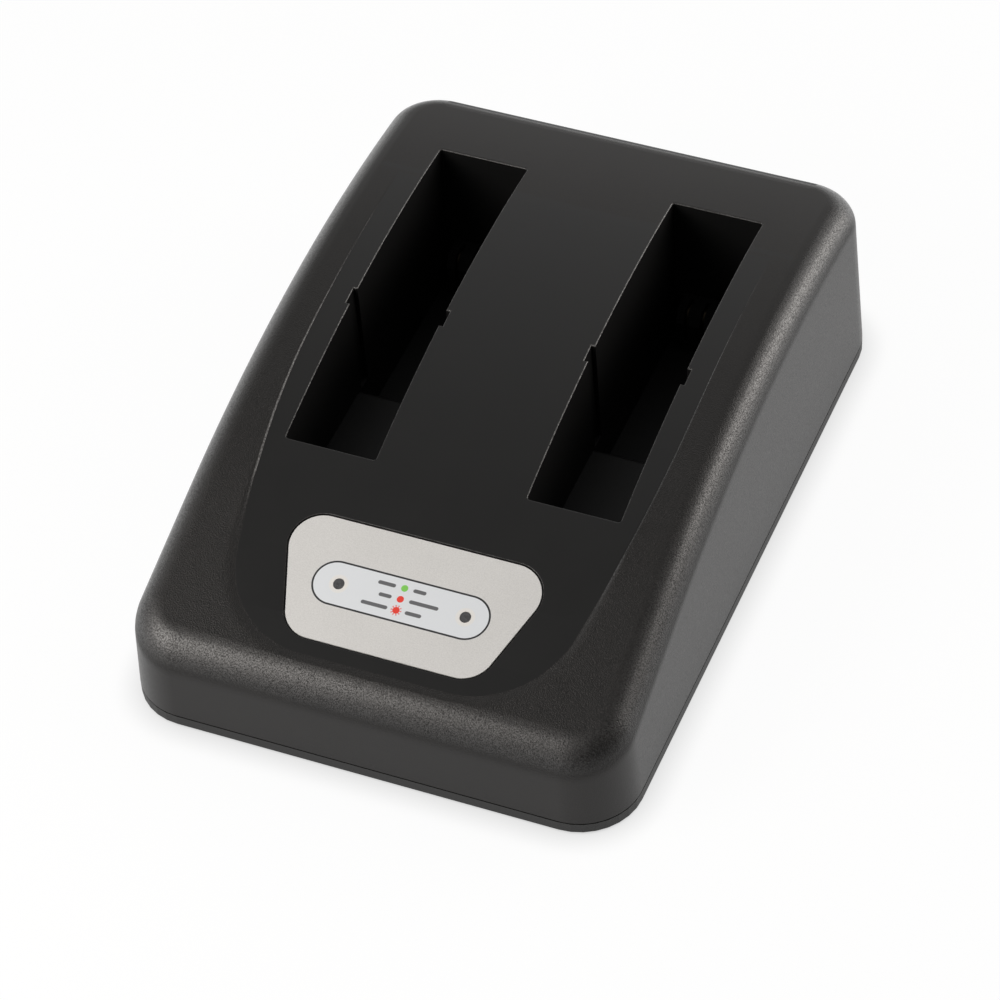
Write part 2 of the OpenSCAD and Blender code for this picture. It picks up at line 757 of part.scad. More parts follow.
module blade_slots(side, z, h) {
    for (i = [0:blade_count - 1])
        translate([side * bay_x + blade_pitch * (i - (blade_count - 1) / 2),
            block_y - block_d / 2, z + h / 2])
            cube([blade_t + 2 * blade_gap, blade_d + 2 * blade_gap, h], center = true);
}

// A contact block: a moulded body with one open slot for each blade
module contact_block(side) {
    slot_w = blade_t + 2 * blade_gap;
    color(deep_black) difference() {
        translate([side * bay_x, block_y, deep_z]) across(block_w)
            polygon([[0, 0], [0, block_h], [lead_in_d - block_d, block_h], [-block_d, block_h - lead_in_h],
                [-block_d, 0]]);
        blade_slots(side, deep_z - cut, block_h + 2 * cut);
        for (i = [0:blade_count - 1])
            translate([side * bay_x + blade_pitch * (i - (blade_count - 1) / 2),
                block_y - block_d, deep_z + block_foot])
                translate([-slot_w / 2, -blade_d / 2, 0]) cube([slot_w, blade_d, block_h]);
    }
}

// Contact blades: flat springs with a rounded top, standing on the board
module contact_blades(side) {
    top = deep_z + block_h - blade_sunk;
    h = top - board_top;
    color(contact_gold) for (i = [0:blade_count - 1])
        translate([side * bay_x + blade_pitch * (i - (blade_count - 1) / 2),
            block_y - block_d / 2, board_top]) across(blade_t) {
                translate([-blade_d / 2, 0]) square([blade_d, h - blade_d / 2]);
                translate([0, h - blade_d / 2]) circle(blade_d / 2, $fn = 32);
            }
}

module socket_outline() {
    for (s = [-1, 1]) translate([s * pin_pitch / 2, 0]) circle(socket_r, $fn = 48);
    square([pin_pitch, socket_waist], center = true);
}

module mains_inlet() {
    translate([0, inlet_y, pin_z]) color(deep_black) difference() {
        translate([-inlet_w / 2, -inlet_d, -inlet_h / 2]) cube([inlet_w, inlet_d, inlet_h]);
        rotate([90, 0, 0]) translate([0, 0, -cut]) linear_extrude(socket_d + cut) socket_outline();
        for (s = [-1, 1]) translate([s * pin_pitch / 2, 0, 0]) rotate([90, 0, 0])
            cylinder(h = socket_d + pin_root, r = root_r + screw_gap, $fn = 32);
    }
}

// Pins with a chamfered tip and a thinner root that sits in the body
module inlet_pins() {
    color(steel) for (s = [-1, 1])
        translate([s * pin_pitch / 2, inlet_y - socket_d, pin_z]) rotate([-90, 0, 0]) {
            cylinder(h = pin_len - pin_tip, r = pin_r, $fn = 32);
            translate([0, 0, pin_len - pin_tip])
                cylinder(h = pin_tip, r1 = pin_r, r2 = pin_r - pin_tip, $fn = 32);
            translate([0, 0, -pin_root]) cylinder(h = pin_root, r = root_r, $fn = 32);
        }
}

// Power parts on the board, from the rear to the front of the middle channel
fuse_y = inlet_y - inlet_d - part_gap - holder_d / 2;
filter_y = fuse_y - holder_d / 2 - part_gap - filter_d / 2;
carrier_d = choke_t + 2 * (choke_wire + carrier_h / 2);
choke_y = filter_y - filter_d / 2 - part_gap - carrier_d / 2;
bridge_y = choke_y - carrier_d / 2 - part_gap - bridge_t / 2;
bulk_y = bridge_y - bridge_t / 2 - part_gap - bulk_r;
input_sink_y = bridge_y - bridge_t / 2 - part_gap - sink_w / 2;
transformer_y = input_sink_y - sink_w / 2 - part_gap - bobbin_d / 2;

module fuse_holder() {
    clip_t = fuse_cap * 0.6;
    clip_x = fuse_len / 2 - fuse_cap / 2;
    color("ivory") translate([0, fuse_y, board_top]) {
        translate([-fuse_len / 2 - holder_h, -holder_d / 2, 0])
            cube([fuse_len + 2 * holder_h, holder_d, holder_h]);
        for (s = [-1, 1]) translate([s * clip_x, 0, 0]) difference() {
            translate([-clip_t / 2, -holder_d * 0.45, 0]) cube([clip_t, holder_d * 0.9, fuse_axis + cut]);
            translate([-clip_t, 0, fuse_axis]) rotate([0, 90, 0])
                cylinder(h = 2 * clip_t, r = fuse_r + screw_gap, $fn = 32);
        }
    }
}

module fuse() {
    body_r = fuse_r * 0.88;
    color("lightgray") translate([-fuse_len / 2, fuse_y, board_top + fuse_axis]) rotate([0, 90, 0]) {
        cylinder(h = fuse_len, r = body_r, $fn = 32);
        for (x = [0, fuse_len - fuse_cap]) translate([0, 0, x]) cylinder(h = fuse_cap, r = fuse_r, $fn = 32);
    }
}

// A boxed film capacitor with its two upper edges chamfered
module filter_capacitor() {
    edge = filter_h / 14;
    half = filter_w / 2;
    color("gold") translate([0, filter_y + filter_d / 2, board_top]) rotate([90, 0, 0])
        linear_extrude(filter_d) polygon([[-half, 0], [half, 0], [half, filter_h - edge],
            [half - edge, filter_h], [edge - half, filter_h], [-half, filter_h - edge]]);
}

// A ring core that stands on its carrier, with two windings
module line_choke() {
    color("darkkhaki") translate([0, choke_y, board_top]) {
        translate([-choke_r, -carrier_d / 2, 0]) cube([2 * choke_r, carrier_d, carrier_h]);
        translate([0, 0, carrier_h + choke_r - choke_wire / 2]) rotate([90, 0, 0]) difference() {
            union() {
                cylinder(h = choke_t, r = choke_r, center = true, $fn = 48);
                for (s = [-1, 1]) translate([s * (choke_r + choke_bore) / 2, 0, 0])
                    cylinder(h = choke_t + 2 * choke_wire, r = (choke_r - choke_bore) / 2 + choke_wire,
                        center = true, $fn = 32);
            }
            cylinder(h = choke_t + 4 * choke_wire, r = choke_bore, center = true, $fn = 48);
        }
    }
}

module bridge_rectifier() {
    corner = bridge_h / 7;
    leads = 4;
    lead_w = bridge_w / 19;
    translate([0, bridge_y, board_top]) {
        color(deep_black) translate([-bridge_w / 2, bridge_t / 2, bridge_lift]) rotate([90, 0, 0])
            linear_extrude(bridge_t) polygon([[0, 0], [bridge_w, 0], [bridge_w, bridge_h - corner],
                [bridge_w - corner, bridge_h], [0, bridge_h]]);
        color(steel) for (i = [0:leads - 1])
            translate([bridge_w / leads * (i - (leads - 1) / 2), 0, bridge_lift / 2])
                cube([lead_w, lead_w * 0.6, bridge_lift], center = true);
    }
}

// A can with a rolled groove near its foot
module can(r, h) {
    g = can_groove;
    rotate_extrude($fn = 48) polygon([[0, 0], [r, 0], [r, 4 * g], [r - g, 5 * g], [r - g, 6 * g],
        [r, 7 * g], [r, h - g], [r - g, h], [0, h]]);
}

module bulk_capacitor() {
    color("midnightblue") translate([-bulk_x, bulk_y, board_top]) can(bulk_r, bulk_h);
}

module transformer_core() {
    window_w = (core_w - core_leg) / 2 - core_yoke;
    color("#3a3a3c") translate([0, transformer_y, board_top + bobbin_h + core_h / 2]) difference() {
        cube([core_w, core_d, core_h], center = true);
        for (s = [-1, 1]) translate([s * (core_leg + window_w) / 2, 0, 0])
            cube([window_w, core_d + cut, core_h - 2 * core_yoke], center = true);
    }
}

module transformer_coil() {
    coil_w = core_w - 2 * core_yoke - 2 * core_gap;
    coil_h = core_h - 2 * core_yoke - 2 * core_gap;
    foot_w = core_w - 2 * bobbin_in;
    color("#c8963c") translate([0, transformer_y, board_top]) {
        translate([-foot_w / 2, -bobbin_d / 2, 0]) cube([foot_w, bobbin_d, bobbin_h]);
        translate([0, 0, bobbin_h + core_h / 2 - coil_h / 2]) linear_extrude(coil_h) difference() {
            rounded_rect(coil_w / 2, bobbin_d / 2, coil_r);
            square([core_leg + 2 * core_gap, core_d + 2 * core_gap], center = true);
        }
    }
}

// The places of the two heat sinks and of the power part on each: X, Y and turn
input_sink = [input_sink_x, input_sink_y, -90];
output_sink = [-output_sink_x, -board_y + output_sink_y, 0];

module at_sink(sink) {
    translate([sink[0], sink[1], board_top]) rotate([0, 0, sink[2]]) children();
}

// An extruded heat sink: a plate with fins on its far side
module heat_sink(sink) {
    color(aluminium) at_sink(sink) linear_extrude(sink_h) {
        translate([-sink_w / 2, 0]) square([sink_w, sink_t]);
        for (i = [0:fin_count - 1])
            translate([-sink_w / 2 + (sink_w - fin_t) * i / (fin_count - 1), sink_t]) square([fin_t, fin_d]);
    }
}

// A power part with a metal tab, standing against the plain side of its heat sink
tab_hole_z = tab_lift + tab_h + tab_over / 2;
tab_hole_r = tab_over / 4;

module tab_part(sink) {
    lead_w = lead_pitch * 0.32;
    color(deep_black) at_sink(sink) {
        difference() {
            union() {
                translate([-tab_w / 2, -tab_d, tab_lift]) cube([tab_w, tab_d, tab_h]);
                translate([-tab_w / 2, -tab_t, tab_lift]) cube([tab_w, tab_t, tab_h + tab_over]);
            }
            translate([0, cut, tab_hole_z]) rotate([90, 0, 0])
                cylinder(h = 2 * cut + tab_t, r = tab_hole_r, $fn = 32);
        }
        for (i = [-1:1])
            translate([i * lead_pitch - lead_w / 2, -2 * tab_t, 0]) cube([lead_w, tab_t * 0.4, tab_lift]);
    }
}

module tab_screw(sink) {
    at_sink(sink) translate([0, -tab_t, tab_hole_z]) rotate([90, 0, 0])
        cylinder(h = tab_screw_h, r = tab_screw_r, $fn = 32);
}

// Three cans in a triangle between the two light pipes
module output_capacitors() {
    pitch = 2 * out_r + out_gap;
    front_y = -board_y + out_y;
    color("midnightblue") for (p = [[-pitch / 2, front_y], [pitch / 2, front_y], [0, front_y + pitch * 0.9]])
        translate([p[0], p[1], board_top]) can(out_r, out_h);
}

// A ring core lying on the board, wound all round
module output_inductor() {
    round_r = ring_h * 0.19;
    color("#a8642a") translate([ring_x, -board_y + ring_y, board_top]) rotate_extrude($fn = 48)
        translate([ring_r, ring_h / 2]) {
            square([ring_t - 2 * round_r, ring_h], center = true);
            square([ring_t, ring_h - 2 * round_r], center = true);
            for (x = [-1, 1], y = [-1, 1])
                translate([x * (ring_t / 2 - round_r), y * (ring_h / 2 - round_r)]) circle(round_r, $fn = 24);
        }
}

module flat_chip(x, y, w, d, h, leads) {
    lead_d = d / 7.5;
    lead_w = lead_d * 0.4;
    translate([x, y, board_top]) {
        color(deep_black) translate([-w / 2, -d / 2, 0]) cube([w, d, h]);
        color(steel) for (s = [-1, 1], i = [0:leads - 1])
            translate([w * ((i + 0.5) / leads - 0.5), s * (d + lead_d) / 2, h / 5])
                cube([lead_w, lead_d, h * 0.4], center = true);
    }
}

module charge_controller() {
    flat_chip(ring_x, -board_y + chip_y, chip_w, chip_d, chip_h, 8);
}

module optocoupler() {
    flat_chip(0, transformer_y - (bobbin_d + opto_d) / 2 - part_gap, opto_w, opto_d, opto_h, 2);
}

module sense_resistors() {
    color("tan") for (s = [-1, 1])
        translate([s * sense_pitch / 2 - output_sink_x, -board_y + sense_y, board_top + sense_r])
            rotate([90, 0, 0]) cylinder(h = sense_len, r = sense_r, center = true, $fn = 32);
}

// A pan head screw that points down from its head's seat
module pan_screw(r, len, head_r, head_h) {
    rotate_extrude($fn = 32)
        polygon([[0, -len], [r - tip_len / 2, -len], [r, tip_len - len], [r, 0], [head_r, 0],
            [head_r, head_h * 0.55], [head_r * 0.7, head_h], [0, head_h]]);
}

module board_screws() {
    color(steel) at_corners(board_screw_x, board_screw_y) translate([0, 0, board_top])
        pan_screw(board_screw_r, board_screw_len, board_screw_head_r, board_screw_head_h);
}

module housing_screws() {
    color(steel) at_corners(screw_x, screw_y)
        translate([0, 0, foot_proud + screw_head_h + head_gap]) mirror([0, 0, 1])
            pan_screw(screw_r, screw_len, screw_head_r, screw_head_h);
}

module rubber_feet() {
    color("#222222") at_corners(foot_x, foot_y)
        rotate_extrude($fn = 48) polygon([[0, 0], [foot_r - foot_taper, 0], [foot_r, foot_proud],
            [foot_r, foot_proud + foot_seat], [0, foot_proud + foot_seat]]);
}

top_shell();
base_plate();
label_plate();
light_pipe(-1);  // light_pipe_left
light_pipe(1);  // light_pipe_right
indicator_leds();
main_board();
contact_block(-1);  // contact_block_left
contact_block(1);  // contact_block_right
contact_blades(-1);  // contact_blades_left
contact_blades(1);  // contact_blades_right
mains_inlet();
inlet_pins();
fuse_holder();
fuse();
filter_capacitor();
line_choke();
bridge_rectifier();
bulk_capacitor();
transformer_core();
transformer_coil();
heat_sink(input_sink);  // input_heat_sink
heat_sink(output_sink);  // output_heat_sink
tab_part(input_sink);  // switching_transistor
tab_part(output_sink);  // output_rectifier
union() {  // heat_sink_screws
    color(steel) tab_screw(input_sink);
    color(steel) tab_screw(output_sink);
}
output_capacitors();
output_inductor();
charge_controller();
optocoupler();
sense_resistors();
board_screws();
housing_screws();
rubber_feet();
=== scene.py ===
import math
import bmesh
import bpy
from mathutils import Matrix, Vector


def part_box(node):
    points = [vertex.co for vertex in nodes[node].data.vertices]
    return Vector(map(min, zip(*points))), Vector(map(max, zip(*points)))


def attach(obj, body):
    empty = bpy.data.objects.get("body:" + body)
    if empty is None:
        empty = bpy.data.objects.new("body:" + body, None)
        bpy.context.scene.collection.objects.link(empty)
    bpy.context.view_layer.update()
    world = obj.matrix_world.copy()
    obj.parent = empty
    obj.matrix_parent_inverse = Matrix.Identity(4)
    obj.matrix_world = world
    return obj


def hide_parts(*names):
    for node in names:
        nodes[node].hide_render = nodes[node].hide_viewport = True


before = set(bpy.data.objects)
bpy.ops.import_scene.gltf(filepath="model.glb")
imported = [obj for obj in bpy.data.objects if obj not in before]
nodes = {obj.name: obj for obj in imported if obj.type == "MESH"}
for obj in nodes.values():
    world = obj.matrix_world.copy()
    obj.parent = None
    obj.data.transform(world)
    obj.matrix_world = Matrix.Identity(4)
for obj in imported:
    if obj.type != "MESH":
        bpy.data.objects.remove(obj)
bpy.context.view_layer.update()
mm = 0.001


# Camera, where the photographer stood

cameraSettings = {
    "target": (0.00289, -0.01398, 0.01849),
    "distance": 1.27413,
    "azimuth": 25.67,
    "elevation": 46.316,
    "roll": -4.855,
    "lens": 162.24,
    "sensor": 36.0,
    "clip": (0.05, 30.0),
}


def directionTo(azimuth, elevation):
    a, e = math.radians(azimuth), math.radians(elevation)
    return Vector((math.sin(a) * math.cos(e), -math.cos(a) * math.cos(e), math.sin(e)))


def makeCamera(s):
    data = bpy.data.cameras.new("studioCamera")
    data.lens = s["lens"]
    data.sensor_width = s["sensor"]
    data.clip_start, data.clip_end = s["clip"]
    cam = bpy.data.objects.new("studioCamera", data)
    bpy.context.scene.collection.objects.link(cam)
    back = directionTo(s["azimuth"], s["elevation"])
    cam.location = Vector(s["target"]) + back * s["distance"]
    turn = (-back).to_track_quat("-Z", "Y").to_matrix().to_4x4()
    cam.rotation_euler = (turn @ Matrix.Rotation(math.radians(s["roll"]), 4, "Z")).to_euler()
    bpy.context.scene.camera = cam


# Shader helpers: a wire carries a socket and turns Python sums into Math nodes

class Wire:
    def __init__(self, shader, socket):
        self.shader, self.socket = shader, socket

    def __add__(self, other):
        return self.shader.maths("ADD", self, other)

    def __sub__(self, other):
        return self.shader.maths("SUBTRACT", self, other)

    def __rsub__(self, other):
        return self.shader.maths("SUBTRACT", other, self)

    def __mul__(self, other):
        return self.shader.maths("MULTIPLY", self, other)

    def __truediv__(self, other):
        return self.shader.maths("DIVIDE", self, other)

    def __abs__(self):
        return self.shader.maths("ABSOLUTE", self)


class Shader:
    def __init__(self, owner):
        self.owner = owner  # a material or the world
        owner.use_nodes = True
        self.tree = owner.node_tree
        self.tree.nodes.clear()

    def node(self, kind, settings=None, sockets=None, out=0):
        made = self.tree.nodes.new("ShaderNode" + kind)
        for key, value in (settings or {}).items():
            if key == "stops":
                self.setStops(made.color_ramp, value)
            else:
                setattr(made, key, value)
        for key, value in (sockets or {}).items():
            self.plug(made.inputs[key], value)
        return Wire(self, made.outputs[out]) if made.outputs else None

    def setStops(self, ramp, stops):
        while len(ramp.elements) < len(stops):
            ramp.elements.new(0.5)
        for element, (position, colour) in zip(ramp.elements, stops):
            element.position, element.color = position, colour

    def plug(self, socket, value):
        if isinstance(value, Wire):
            self.tree.links.new(value.socket, socket)
        else:
            socket.default_value = value

    def maths(self, operation, *values):
        return self.node("Math", {"operation": operation}, dict(enumerate(values)))

    def largest(self, a, b):
        return self.maths("MAXIMUM", a, b)

    def ramp(self, value, low, high):
        return self.node("MapRange", {"clamp": True},
                         {"Value": value, "From Min": low, "From Max": high})

    def mix(self, amount, a, b):
        return self.node("Mix", {"data_type": "RGBA"}, {0: amount, 6: a, 7: b}, 2)

    def parts(self, vector):
        split = self.tree.nodes.new("ShaderNodeSeparateXYZ")
        self.plug(split.inputs[0], vector)
        return [Wire(self, o) for o in split.outputs]

    def place(self):
        spot = self.node("TexCoord", out="Object")
        return spot, self.parts(spot)

    def noise(self, spot, scale, detail=2.0, roughness=0.5):
        return self.node("TexNoise", None, {"Vector": spot, "Scale": scale, "Detail": detail,
                                            "Roughness": roughness})

    def bump(self, height, strength, depth):
        return self.node("Bump", None,
                         {"Height": height, "Strength": strength, "Distance": depth})

    def finish(self, **sockets):
        named = {key.replace("_", " "): value for key, value in sockets.items()}
        surface = self.node("BsdfPrincipled", None, named)
        self.node("OutputMaterial", None, {"Surface": surface})
        return self.owner


def newShader(name):
    return Shader(bpy.data.materials.new(name))


def rgb(r, g, b):
    return (r, g, b, 1)


def grey(level, warm=0.0):
    return rgb(level * (1 + warm), level, level * (1 - warm))


# Moulded case: leather grain outside, finer finish on the panel, nearly black in the bays

plasticSettings = {
    "dark": grey(0.0035, 0.05),
    "light": grey(0.0125, 0.07),
    "panelDark": grey(0.0050, 0.03),
    "panelLight": grey(0.0070, 0.03),
    "bayDark": grey(0.0050),
    "bayLight": grey(0.0070),
    "tint": rgb(1.0, 0.975, 0.965),
    "grainScale": 2700,
    "grainDepth": 0.14 * mm,
    "grainOnWalls": 0.2,
    "mottleScale": 60.0,
    "speckRange": (0.4, 0.62),
    "fineScale": 7400,
    "panelDepth": 0.04 * mm,
    "panelMottleScale": 80.0,
    "bayDepth": 0.05 * mm,
    # how far a face looks up where each zone fades in; the last is along the case
    "wallToTop": (0.08, 0.4),
    "shoulderStart": (0.28, 0.55),
    "shoulderEnd": (0.83, 0.96),
    "rearTop": (0.94, 0.985),
    "rearTopY": (-20 * mm, 30 * mm),
}


def casePlastic(s):
    m = newShader("casePlastic")
    spot, (_, y, _) = m.place()
    upward = m.parts(m.node("TexCoord", out="Normal"))[2]
    cells = m.node("TexVoronoi", None, {"Vector": spot, "Scale": s["grainScale"]})
    broken = m.noise(spot, s["grainScale"] * 0.9, 3.0, 0.7)
    mottle = m.noise(spot, s["mottleScale"], 4.0)
    speck = m.ramp(broken, *s["speckRange"])
    rearTop = m.ramp(upward, *s["rearTop"]) * m.ramp(y, *s["rearTopY"])  # smooth behind the panel
    share = m.ramp(upward, *s["wallToTop"]) * (1 - s["grainOnWalls"]) + s["grainOnWalls"]
    height = (cells * 0.8 + broken * 0.8) * share * (1 - rearTop)
    shoulder = m.ramp(upward, *s["shoulderStart"]) * (1 - m.ramp(upward, *s["shoulderEnd"]))
    return m.finish(Base_Color=m.mix(speck * 0.6 + mottle * 0.4, s["dark"], s["light"]),
                    Roughness=speck * 0.12 + 0.30, Normal=m.bump(height, 1.0, s["grainDepth"]),
                    Specular_IOR_Level=0.35, Specular_Tint=s["tint"], Coat_Roughness=0.38,
                    Coat_Weight=shoulder * (speck * 1.5 + 0.15))  # worn a little by hands


def panelPlastic(s):
    m = newShader("panelPlastic")
    spot, _ = m.place()
    fine, mottle = m.noise(spot, s["fineScale"]), m.noise(spot, s["panelMottleScale"], 4.0)
    return m.finish(Base_Color=m.mix(fine * 0.5 + mottle * 0.5, s["panelDark"], s["panelLight"]),
                    Roughness=mottle * 0.06 + 0.34, Normal=m.bump(fine, 0.3, s["panelDepth"]),
                    Specular_IOR_Level=0.38)


def bayPlastic(s):
    m = newShader("bayPlastic")
    spot, _ = m.place()
    fine = m.noise(spot, s["fineScale"] / 2)
    return m.finish(Base_Color=m.mix(fine, s["bayDark"], s["bayLight"]),
                    Roughness=fine * 0.1 + 0.45, Normal=m.bump(fine, 0.3, s["bayDepth"]),
                    Specular_IOR_Level=0.25)


# Top shell: the same form as the moulding, cut from smooth lofts

shell = {
    "caseH": 60.8 * mm,
    "archR": 342 * mm,
    "crownFront": 155.5 * mm,
    "slopeLen": 50 * mm,
    "cornerR": 17.5 * mm,
    "shoulderR": 9 * mm,
    "wallDraft": 2.4,
    "wall": 2.4 * mm,
    "panelHalf": 57.2 * mm,
    "panelSideR": 370 * mm,
    "panelCornerR": 29 * mm,
    "panelFront": 11.2 * mm,
    "panelStep": 0.6 * mm,
    "fadeBack": 45 * mm,
    "fadeLen": 100 * mm,
    "partingBreak": 0.3 * mm,
    "over": 2 * mm,
    "tightest": 0.05 * mm,
    "sliver": 0.001 * mm,
    "panelOver": 4 * mm,
    "creaseStart": 12 * mm,
    "creaseLen": 36 * mm,
    "smoothUnder": 28,  # degrees
}
outerSteps = {"cornerSteps": 20, "stations": 96, "shoulderSteps": 14}
hollowSteps = {"cornerSteps": 6, "stations": 40, "shoulderSteps": 5}
low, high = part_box("top_shell")
caseW, caseD = high.x - low.x, high.y - low.y
partingZ = low.z
crownY = -caseD / 2 + shell["crownFront"]
archZ = shell["caseH"] - shell["archR"]
slopeY = -caseD / 2 + shell["slopeLen"]
slopeA = math.asin((crownY - slopeY) / shell["archR"])
slopeZ = archZ + shell["archR"] * math.cos(slopeA)
fadeY = caseD / 2 - shell["fadeBack"]


def panelHeight(y):
    if y < slopeY:
        return slopeZ + (y - slopeY) * math.tan(slopeA)
    return archZ + math.sqrt(shell["archR"] ** 2 - (y - crownY) ** 2)


def stepHeight(y):
    return shell["panelStep"] * min(1, (fadeY - y) / shell["fadeLen"])


def rimHeight(y):
    return panelHeight(y) + stepHeight(y)


def rimTop(y):
    return min(panelHeight(y), rimHeight(y))


def quarterTurn(steps):
    return [math.pi / 2 * i / steps for i in range(steps + 1)]


def spokes(cornerSteps, stations):
    x, y = caseW / 2 - shell["cornerR"], caseD / 2 - shell["cornerR"]
    turn = quarterTurn(cornerSteps)
    front = [(x, -y, math.sin(a), -math.cos(a)) for a in turn]
    side = [(x, -y + 2 * y * i / stations, 1, 0) for i in range(1, stations)]
    rear = [(x, y, math.cos(a), math.sin(a)) for a in turn]
    return front + side + rear


def ringPoint(spoke, inset):
    r = max(shell["cornerR"] - inset, shell["tightest"])
    return spoke[0] + r * spoke[2], spoke[1] + r * spoke[3]


def mirrored(half):
    return half + [(-p[0], *p[1:]) for p in reversed(half)]


def flatRing(spokeList, inset, z):
    return mirrored([(*ringPoint(s, inset), z) for s in spokeList])


def shoulderRing(spokeList, skin, turn):
    r = shell["shoulderR"] - skin
    half = []
    for s in spokeList:
        wallTop = rimHeight(s[1] + shell["cornerR"] * s[3]) - skin - r
        draft = math.tan(math.radians(shell["wallDraft"])) * (wallTop - partingZ)
        x, y = ringPoint(s, skin + draft + r * (1 - math.cos(turn)))
        half.append((x, y, rimHeight(y) - skin - r * (1 - math.sin(turn))))
    return mirrored(half)


def caseRings(skin, feet, cornerSteps, stations, shoulderSteps):
    s = spokes(cornerSteps, stations)
    rings = [flatRing(s, skin + inset, z) for inset, z in feet]
    return rings + [shoulderRing(s, skin, turn) for turn in quarterTurn(shoulderSteps)]


def newObject(name, verts, faces):
    mesh = bpy.data.meshes.new(name)
    mesh.from_pydata([tuple(v) for v in verts], [], faces)
    bm = bmesh.new()
    bm.from_mesh(mesh)
    bmesh.ops.recalc_face_normals(bm, faces=bm.faces)
    bm.to_mesh(mesh)
    bm.free()
    obj = bpy.data.objects.new(name, mesh)
    bpy.context.scene.collection.objects.link(obj)
    return obj


def loftRings(name, rings, flatCaps=False):
    n = len(rings[0])
    last = (len(rings) - 1) * n
    faces = []
    for k in range(len(rings) - 1):
        for i in range(n):
            j = (i + 1) % n
            faces.append((k * n + i, k * n + j, k * n + n + j, k * n + n + i))
    for start in (0, last):
        if flatCaps:
            faces.append([start + i for i in range(n)])
        else:
            faces += [(start + i, start + n - 1 - i, start + n - 2 - i, start + i + 1)
                      for i in range(n // 2 - 1)]
    return newObject(name, [p for ring in rings for p in ring], faces)


def blockMesh(name, corner, opposite):
    (x0, y0, z0), (x1, y1, z1) = corner, opposite
    ring = [(x1, y0), (x1, y1), (x0, y1), (x0, y0)]
    return loftRings(name, [[(x, y, z) for x, y in ring] for z in (z0, z1)], True)


def rodMesh(name, x, y, z0, z1, r, sides=48):
    turns = [2 * math.pi * (i + 0.5) / sides for i in range(sides)]
    ring = [(x + r * math.cos(a), y + r * math.sin(a)) for a in turns]
    return loftRings(name, [[(*point, z) for point in ring] for z in (z0, z1)], True)


def combine(target, cutter, operation="DIFFERENCE"):
    bpy.context.view_layer.objects.active = target
    modifier = target.modifiers.new("cut", "BOOLEAN")
    modifier.operation, modifier.solver, modifier.object = operation, "MANIFOLD", cutter
    bpy.ops.object.modifier_apply(modifier=modifier.name)
    bpy.data.objects.remove(cutter)


def panelHalfLoop(offset, steps=28, sideSteps=30):
    frontY = -caseD / 2 + shell["panelFront"]
    sideCx = shell["panelHalf"] - shell["panelSideR"]
    cornerCy = frontY + shell["panelCornerR"]
    gap = shell["panelSideR"] - shell["panelCornerR"]
    cornerCx = sideCx + math.sqrt(gap ** 2 - cornerCy ** 2)
    sideA = math.asin(-cornerCy / gap)
    corner, side = shell["panelCornerR"] + offset, shell["panelSideR"] + offset
    turns = [sideA + (math.pi / 2 - sideA) * (1 - i / steps) for i in range(steps + 1)]
    half = [(cornerCx + corner * math.cos(a), cornerCy - corner * math.sin(a)) for a in turns]
    half.sort(key=lambda p: p[1])
    bends = [sideA * (1 - i / sideSteps) for i in range(1, sideSteps + 1)]
    half += [(sideCx + side * math.cos(a), -side * math.sin(a)) for a in bends]
    rearY = fadeY + shell["panelOver"]
    half += [(shell["panelHalf"] + offset, rearY * i / sideSteps) for i in range(1, sideSteps + 1)]
    return half


# the panel's wall: offset in millimetres, share of the step
panelEdge = [(0.0, 0.0), (0.08, 0.12), (0.16, 0.34), (0.26, 0.6), (0.38, 0.8), (0.54, 0.93),
             (0.75, 1.0)]
softEdge = 6  # the crease spreads toward the front


def creaseLoop(offset):
    near, far = panelHalfLoop(offset * mm), panelHalfLoop(offset * softEdge * mm)
    loop = []
    for (x0, y0), (x1, y1) in zip(near, far):
        share = (slopeY + shell["creaseStart"] - y0) / shell["creaseLen"]
        share = min(1, max(0, share))
        loop.append((x0 + (x1 - x0) * share, y0 + (y1 - y0) * share))
    return loop


def panelCutter():
    rings = []
    for offset, share in panelEdge:
        ring = []
        for x, y in creaseLoop(offset):
            step = max(stepHeight(y), shell["sliver"])
            ring.append((x, y, panelHeight(y) + share * step))
        rings.append(mirrored(ring))
    top = creaseLoop(panelEdge[-1][0])
    rings.append(mirrored([(x, y, rimHeight(y) + shell["over"] * 3) for x, y in top]))
    return loftRings("panelCutter", rings)


bay = {
    "x": 36.25 * mm,
    "w": 27.2 * mm,
    "len": 113.9 * mm,
    "front": 69.25 * mm,
    "ledgeLen": 46.9 * mm,
    "ledgeH": 12.6 * mm,
    "ledgeR": 2 * mm,
    "wall": 2 * mm,
    "draft": 0.5,
    "keyLen": 5.5 * mm,
    "keyDepth": 1.2 * mm,
    "mouthR": 0.6 * mm,
    "cornerR": 0.7 * mm,
    "cornerSteps": 4,
    "mouthSteps": 5,
    "ledgeSteps": 10,
}
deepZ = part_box("contact_block_left")[0].z
ledgeZ = deepZ + bay["ledgeH"]
bayY0 = -caseD / 2 + bay["front"]
bayY1 = bayY0 + bay["len"]
ledgeY = bayY0 + bay["ledgeLen"]


